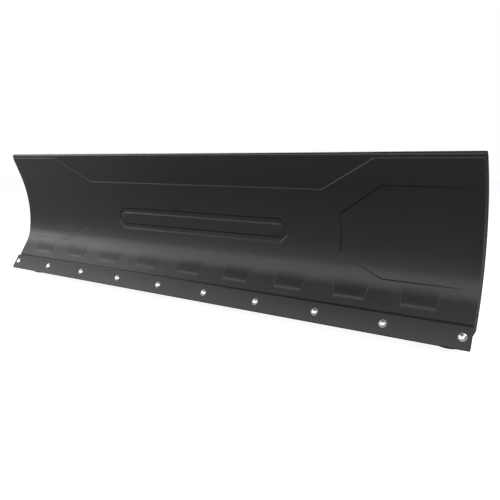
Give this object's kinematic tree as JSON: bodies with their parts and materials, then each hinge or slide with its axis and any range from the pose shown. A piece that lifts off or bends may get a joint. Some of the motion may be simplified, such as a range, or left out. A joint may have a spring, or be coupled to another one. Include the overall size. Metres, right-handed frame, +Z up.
{
  "type": "atv snow plow blade",
  "caption": "Curved steel snow plow blade for a quad bike, with pressed panels, a bolted wear bar, rear pivot lugs and height-set skid shoes.",
  "frame": {"origin": "centre of the overall box, on the ground under the skid shoes", "axes": "+X along the blade's width, -Y towards the ploughing face, +Z up"},
  "size_m": [1.524, 0.178, 0.42],
  "materials": {
    "black_powder_coat": "satin black powder coat, fine texture",
    "wear_bar_coat": "satin black paint over steel bar",
    "bright_zinc": "bright zinc plate",
    "zinc": "dull zinc plate",
    "shoe_iron": "black paint, worn underneath"
  },
  "bodies": {
    "blade": {"end_rib_left": "black_powder_coat", "end_rib_right": "black_powder_coat", "lower_channel": "black_powder_coat", "moldboard": "black_powder_coat", "mount_ear_inner_left": "black_powder_coat", "mount_ear_inner_right": "black_powder_coat", "mount_ear_outer_left": "black_powder_coat", "mount_ear_outer_right": "black_powder_coat", "pivot_doublers_left": "black_powder_coat", "pivot_doublers_right": "black_powder_coat", "rib_inner_left": "black_powder_coat", "rib_inner_right": "black_powder_coat", "rib_outer_left": "black_powder_coat", "rib_outer_right": "black_powder_coat", "shoe_socket_left": "black_powder_coat", "shoe_socket_right": "black_powder_coat", "socket_gussets_left": "black_powder_coat", "socket_gussets_right": "black_powder_coat", "spring_tab_left": "black_powder_coat", "spring_tab_right": "black_powder_coat", "upper_spacers_left": "zinc", "upper_spacers_right": "zinc", "upper_tube": "black_powder_coat", "wear_bar": "wear_bar_coat", "wear_bar_bolts": "bright_zinc", "wear_bar_nuts": "zinc"},
    "shoe_left": {"skid_shoe_left": "shoe_iron", "shoe_post_left": "zinc", "lower_spacers_left": "zinc", "hairpin_left": "bright_zinc"},
    "shoe_right": {"skid_shoe_right": "shoe_iron", "shoe_post_right": "zinc", "lower_spacers_right": "zinc", "hairpin_right": "bright_zinc"}
  },
  "joints": [
    {"name": "shoe_swivel_left", "type": "hinge", "parent": "blade", "child": "shoe_left", "pos_m": [-0.707, 0.00004, 0], "axis": [0, 0, 1], "continuous": true},
    {"name": "shoe_swivel_right", "type": "hinge", "parent": "blade", "child": "shoe_right", "pos_m": [0.707, 0.00004, 0], "axis": [0, 0, 1], "continuous": true}
  ]
}
